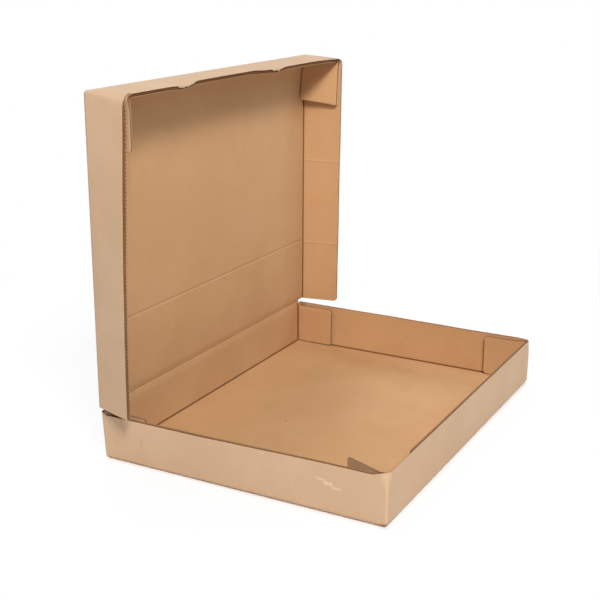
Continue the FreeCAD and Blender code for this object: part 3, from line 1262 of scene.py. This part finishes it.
class Tree:
    """A node tree under construction."""

    def __init__(self, tree: bpy.types.NodeTree) -> None:
        """Start with the tree emptied.

        Args:
            tree: The node tree of a material or of the world.
        """
        self.nodes = tree.nodes
        self.links = tree.links
        self.nodes.clear()

    def make(self, kind: str, settings: dict[str, object] | None = None,
             inputs: dict[str | int, object] | None = None) -> bpy.types.Node:
        """Make a node.

        Args:
            kind: The node's type.
            settings: Its properties, set first.
            inputs: Values, Shades or shader nodes for its sockets, by name or number.

        Returns:
            The node.
        """
        node = self.nodes.new(kind)
        for key, value in (settings or {}).items():
            setattr(node, key, value)
        for key, value in (inputs or {}).items():
            if isinstance(value, Shade):
                self.links.new(value.socket, node.inputs[key])
            elif isinstance(value, bpy.types.Node):
                self.links.new(value.outputs[0], node.inputs[key])
            else:
                node.inputs[key].default_value = value
        return node

    def node(self, kind: str, settings: dict[str, object] | None = None,
             inputs: dict[str | int, object] | None = None, output: str | int = 0) -> Shade:
        """Make a node and return one of its outputs."""
        return Shade(self, self.make(kind, settings, inputs).outputs[output])

    def place(self) -> Shade:
        """Return the point's place on the object, in metres."""
        return self.node("ShaderNodeTexCoord", output="Object")

    def attribute(self, name: str, output: str) -> Shade:
        """Return what the mesh holds for the point under a name."""
        return self.node("ShaderNodeAttribute", {"attribute_name": name}, output=output)

    def vector(self, operation: str, *values: object, output: str = "Vector") -> Shade:
        """Return the result of a Vector Math node."""
        return self.node("ShaderNodeVectorMath", {"operation": operation},
                         dict(enumerate(values)), output)

    def axis(self, vector: Shade, name: str) -> Shade:
        """Return one axis of a vector."""
        return self.node("ShaderNodeSeparateXYZ", inputs={0: vector}, output=name)

    def noise(self, vector: Shade, scale: float, detail: float = 2.0,
              roughness: float = 0.5) -> Shade:
        """Return a noise from 0 to 1."""
        return self.node("ShaderNodeTexNoise", {"noise_dimensions": "3D"},
                         {"Vector": vector, "Scale": scale, "Detail": detail,
                          "Roughness": roughness})

    def tinted(self, share: Shade, base: object, tone: Tone) -> Shade:
        """Return a base colour that goes over into a tone."""
        return self.node("ShaderNodeMix", {"data_type": "RGBA"},
                         {0: share, 6: base, 7: colour(tone)}, 2)


def linear(value: float) -> float:
    """Return a screen value from 0 to 255 as a linear one from 0 to 1."""
    value /= 255
    return value / 12.92 if value <= 0.04045 else ((value + 0.055) / 1.055) ** 2.4


def colour(tone: Tone) -> tuple[float, float, float, float]:
    """Return a tone of screen values as an opaque colour of linear values."""
    return (*map(linear, tone), 1.0)


@dataclass(frozen=True)
class Mark:
    """A worn, soiled or painted-shade spot on a paper, at its place on the resting box in
    millimetres.
    """

    at: Place
    size: Place
    tone: Tone
    share: float = 0.6
    ragged: float = 0.8

    def shown(self, tree: Tree, place: Shade, edge: Shade) -> Shade:
        """Return how much the mark shows at a point, with an uneven outline.

        Args:
            tree: The material's tree.
            place: The point's place on the object.
            edge: A noise that makes the outline uneven.

        Returns:
            The share, from 0 to 1.
        """
        away = tree.vector("SUBTRACT", place, tuple(value * MM for value in self.at))
        scaled = tree.vector("MULTIPLY", away, tuple(1000 / value for value in self.size))
        far = tree.vector("LENGTH", scaled, output="Value")
        return (1 - (far + (edge - 0.5) * 2 * self.ragged).step(0.55, 1.0)) * self.share


@dataclass(frozen=True)
class Kraft:
    """A brown kraft paper."""

    name: str
    base: Tone
    pale: Tone
    dark: Tone
    marks: tuple[Mark, ...] = ()
    # painted shade: a darker tone laid along the folds, where the inner corners would be in shade
    fold: Tone | None = None
    cloud: float = 0.35
    grain: float = 1.0
    roughness: float = 0.86
    grain_stretch: Place = (1500.0, 420.0, 900.0)
    fibre_stretch: Place = (2600.0, 240.0, 900.0)
    wave_pitch: float = 0.0040
    bump: float = 0.00004

    def material(self) -> bpy.types.Material:
        """Return the paper's material.

        Returns:
            The material.
        """
        made = bpy.data.materials.new(self.name)
        made.use_nodes = True
        tree = Tree(made.node_tree)
        place = tree.place()
        blank = tree.attribute("blank", "Vector")
        cloud = tree.noise(place, 14.0, 3.0, 0.55)
        grain = tree.noise(tree.vector("MULTIPLY", blank, self.grain_stretch), 1.0, 3.0, 0.62)
        fibre = tree.noise(tree.vector("MULTIPLY", blank, self.fibre_stretch), 1.0)
        fleck = tree.noise(blank, 700.0)
        base = colour(self.base)
        for share, tone in ((cloud.step(0.38, 0.66) * self.cloud, self.pale),
                            (grain.step(0.35, 0.75) * 0.2 * self.grain, self.dark),
                            (fibre.step(0.62, 0.78) * 0.14 * self.grain, self.dark),
                            (fleck.step(0.68, 0.80) * 0.25, self.dark),
                            ((1 - fleck).step(0.70, 0.80) * 0.20, self.pale)):
            base = tree.tinted(share, base, tone)
        # painted shade along the inner folds, darker where the blank is near a fold
        if self.fold is not None:
            painted_fold_shade = tree.attribute("fold", "Fac")
            base = tree.tinted(painted_fold_shade.step(0.1, 0.9) * 0.85, base, self.fold)
        edge = tree.noise(place, 260.0, 3.0, 0.65)
        for mark in self.marks:
            base = tree.tinted(mark.shown(tree, place, edge), base, mark.tone)
        wave = (tree.axis(blank, "Y") * (math.tau / self.wave_pitch)).sine()
        normal = tree.node("ShaderNodeBump", inputs={
            "Strength": 0.3, "Distance": self.bump,
            "Height": wave * 0.3 + grain * 0.8 + fleck * 0.3})
        shader = tree.make("ShaderNodeBsdfPrincipled", inputs={
            "Base Color": base, "Roughness": self.roughness + (grain - 0.5) * 0.12,
            "Normal": normal, "Specular IOR Level": 0.25})
        tree.make("ShaderNodeOutputMaterial", inputs={"Surface": shader})
        return made


# --- stage ----------------------------------------------------------------------------------

@dataclass(frozen=True)
class Lamp:
    """A soft square lamp that looks at the box, in metres and watts."""

    name: str
    at: Place
    size: float
    power: float
    tint: Tone = (1.0, 1.0, 1.0)
    target: Place = (0.0, 0.0, 0.15)

    def hang(self) -> None:
        """Hang the lamp."""
        data = bpy.data.lights.new(self.name, "AREA")
        data.size = self.size
        data.energy = self.power
        data.color = self.tint
        lamp = add_object(self.name, data)
        aim = Vector(self.target) - Vector(self.at)
        lamp.rotation_euler = aim.to_track_quat("-Z", "Y").to_euler()
        lamp.location = self.at


@dataclass(frozen=True)
class Studio:
    """The camera, the lamps and the floor."""

    camera_at: Place = (-1.1393, -0.5601, 0.5383)
    azimuth: float = -61.96
    elevation: float = 17.15
    roll: float = 0.30
    lens: float = 68.41
    sensor: float = 36.0
    floor_half: float = 6.0
    contact_fade: float = 0.004
    lamps: tuple[Lamp, ...] = (
        Lamp("key", (-2.28, -2.00, 3.07), 1.0, 180.0, (1.0, 0.985, 0.97)),
        Lamp("side", (-3.51, -0.94, 2.25), 1.5, 33.0),
        Lamp("back", (3.15, 1.82, 2.25), 1.8, 60.0),
        Lamp("front", (2.34, -2.79, 2.25), 1.8, 42.0, (0.66, 0.83, 1.0)),
        Lamp("top", (0.6, 1.6, 4.0), 1.8, 66.0, (0.78, 0.9, 1.0)))

    def build(self) -> None:
        """Build everything round the object."""
        self.make_camera()
        self.make_world()
        self.make_floor()
        for lamp in self.lamps:
            lamp.hang()
        bpy.context.scene.view_settings.view_transform = "Standard"

    def make_camera(self) -> None:
        """Set the camera where the box is seen from."""
        az, el, roll = map(math.radians, (self.azimuth, self.elevation, self.roll))
        back = Vector((math.sin(az) * math.cos(el), -math.cos(az) * math.cos(el), math.sin(el)))
        right = (-back).cross(Vector((0, 0, 1))).normalized()
        up = right.cross(-back)
        turned_right = right * math.cos(roll) + up * math.sin(roll)
        turned_up = up * math.cos(roll) - right * math.sin(roll)
        data = bpy.data.cameras.new("camera")
        data.lens = self.lens
        data.sensor_width = self.sensor
        camera = add_object("camera", data)
        axes = Matrix((turned_right, turned_up, back)).transposed().to_4x4()
        camera.matrix_world = Matrix.Translation(self.camera_at) @ axes
        bpy.context.scene.camera = camera

    def make_world(self) -> None:
        """Show white behind the scene, and leave the light to the lamps."""
        world = bpy.data.worlds.new("studio")
        world.use_nodes = True
        tree = Tree(world.node_tree)
        dark = tree.make("ShaderNodeBackground", inputs={"Strength": 0.0})
        white = tree.make("ShaderNodeBackground", inputs={"Color": (1, 1, 1, 1)})
        seen = tree.node("ShaderNodeLightPath", output="Is Camera Ray")
        mix = tree.make("ShaderNodeMixShader", inputs={0: seen, 1: dark, 2: white})
        tree.make("ShaderNodeOutputWorld", inputs={"Surface": mix})
        bpy.context.scene.world = world

    def make_floor(self) -> None:
        """Lay a plain pale floor that keeps a faint shadow, and a full one under the box."""
        bm = bmesh.new()
        bmesh.ops.create_grid(bm, x_segments=1, y_segments=1, size=self.floor_half)
        data = bpy.data.meshes.new("floor")
        bm.to_mesh(data)
        bm.free()
        add_object("floor", data)
        paper = bpy.data.materials.new("floor_paper")
        paper.use_nodes = True
        tree = Tree(paper.node_tree)
        seen = tree.node("ShaderNodeLightPath", output="Is Camera Ray")
        white = tree.make("ShaderNodeEmission", inputs={"Strength": 1.0})
        grey = tree.make("ShaderNodeBsdfDiffuse", inputs={"Color": (0.86, 0.85, 0.84, 1)})
        place = tree.place()
        away = tree.vector("LENGTH", place, output="Value")
        beside = tree.vector("ABSOLUTE", place)
        past_side, past_end = ((tree.axis(beside, axis) - half * MM).step(0.0, self.contact_fade)
                               for axis, half in (("X", HALF_LENGTH), ("Y", HALF_WIDTH)))
        outside = 1 - (1 - past_side) * (1 - past_end)
        share = seen * outside * (0.9 + away.step(0.4, 1.0) * 0.1)
        mix = tree.make("ShaderNodeMixShader", inputs={0: share, 1: grey, 2: white})
        tree.make("ShaderNodeOutputMaterial", inputs={"Surface": mix})
        data.materials.append(paper)


# --- the box --------------------------------------------------------------------------------

def make_papers() -> Papers:
    """Return the materials of the papers, in the order of Paper.

    Returns:
        The materials.
    """
    scuff, rubbed = (222, 197, 168), (222, 200, 174)
    outer = Kraft("outer_liner", (195, 162, 131), (205, 176, 147), (167, 131, 100), marks=(
        Mark((-225.0, -97.0, 36.5), (6.0, 7.0, 2.0), scuff, 0.45, 1.0),
        Mark((-225.0, -105.0, 33.5), (6.0, 8.0, 2.6), scuff, 0.55, 1.0),
        Mark((-225.0, -114.0, 30.0), (6.0, 6.0, 2.0), scuff, 0.45, 1.0),
        Mark((-225.0, -31.0, 50.0), (5.0, 1.6, 1.2), rubbed, 0.6, 0.3),
        Mark((-225.0, 30.0, 48.0), (5.0, 1.4, 1.0), rubbed, 0.5, 0.3),
        Mark((-225.0, 118.0, 32.0), (5.0, 0.8, 10.0), (150, 112, 82), 0.4, 0.4),
        Mark((-224.0, -169.0, 2.0), (5.0, 9.0, 3.4), (134, 88, 62), 0.6, 0.9),
        # painted shade colour: a browner tint on the loose front-left flap's outer face, for the
        # warm light in the shade behind the left wall
        Mark((-203.0, -130.0, 28.0), (18.0, 36.0, 34.0), (190, 147, 104), 0.7, 0.1)))
    # the inner liner's fold tone is painted shade along its inner folds
    inner = Kraft("inner_liner", (189, 146, 103), (199, 159, 117), (161, 117, 76), marks=(
        Mark((-47.7, 39.8, 4.2), (1.5, 1.9, 3.0), (120, 78, 46), 0.7, 0.3),),
        fold=(122, 75, 40))
    flute = Kraft("fluting", (140, 99, 65), (164, 122, 84), (104, 70, 44))
    cut = Kraft("cut_edge", (146, 106, 74), (172, 132, 98), (108, 74, 48), cloud=0.6, grain=1.6)
    torn = Kraft("torn_fibres", (200, 172, 142), (218, 196, 168), (150, 114, 84), cloud=0.8,
                 grain=1.4, roughness=0.95)
    return [kraft.material() for kraft in (outer, inner, flute, cut, torn)]


def base_tray() -> BaseTray:
    """Return the base, with its loose flap at the front left corner.

    Returns:
        The tray.
    """
    front = EndWall(-1, HALF_WIDTH, 58.0, 219.6, Flap(22.0, drop=3.2), Flap(0.6, round_low=4.0),
                    Nose(9.0, 12.0, 16.5, 20.0, 11.0, root=0.24, root_height=40.0,
                         full_height=58.0), seed=1.0, right_nose=0.5)
    rear = EndWall(1, HALF_WIDTH, 59.6, 219.6, Flap(0.6, reach=51.0, drop=3.6, follow=0.97),
                   Flap(0.6, drop=0.6),
                   Nose(2.0, 2.4, 4.0, 14.0, 4.0, root=1.0, root_height=0.0, full_height=58.0),
                   seed=2.0, unbent=57.0)
    return BaseTray("base", "base", "base_tray", crease=220.0, left_height=54.2,
                    right_height=58.8, ends=(front, rear))


def lid_tray() -> LidTray:
    """Return the lid, with its leaning flap at the upper right corner."""
    top = EndWall(1, 341.1, 54.0, 229.0, Flap(0.6, drop=0.0),
                  Flap(0.6, drop=0.0, taper_high=1.4, lean=0.14, turned_in=9.0, twist=0.15,
                       longer=0.085),
                  Nose(10.0, 9.0, 15.0, 18.0, 2.5, root=0.35, root_height=0.0,
                       full_height=54.0), seed=3.0, right_nose=0.8)
    return LidTray(
        "lid", "lid", "lid_tray", crease=229.4, left_height=54.0, right_height=54.0,
        ends=(top,), free_start=2.0,
        focus_v=((2.0, 8.0, 1.0), (87.9, 4.0, 0.7), (199.2, 4.0, 0.8), (162.4, 3.0, 1.0),
                 (146.4, 3.0, 1.0), (130.4, 3.0, 1.0), (84.4, 4.0, 0.8)),
        panel_creases=(Crease(87.9, 0.5, 1.3), Crease(210.4, 0.15, 1.2, -117, -32),
                       Crease(162.0, 0.12, 1.2, -112, -55, -0.08)),
        wall_creases=(Crease(199.2, 0.45, 1.2), Crease(162.4, 0.12, 1.2),
                      Crease(146.4, 0.10, 1.2), Crease(130.4, 0.10, 1.2),
                      Crease(84.4, 0.45, 1.3)),
        nicks=(Nick(-128.0, 17.0, 1.4, 3.3), Nick(68.0, 15.0, 1.4, 2.4)))


def main() -> None:
    """Build the box and its studio."""
    logging.basicConfig(level=logging.INFO, format="%(message)s")
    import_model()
    Studio().build()
    papers = make_papers()
    for part in (base_tray(), lid_tray(), HingeCrease()):
        part.build(papers)


if __name__ == "__main__":
    main()
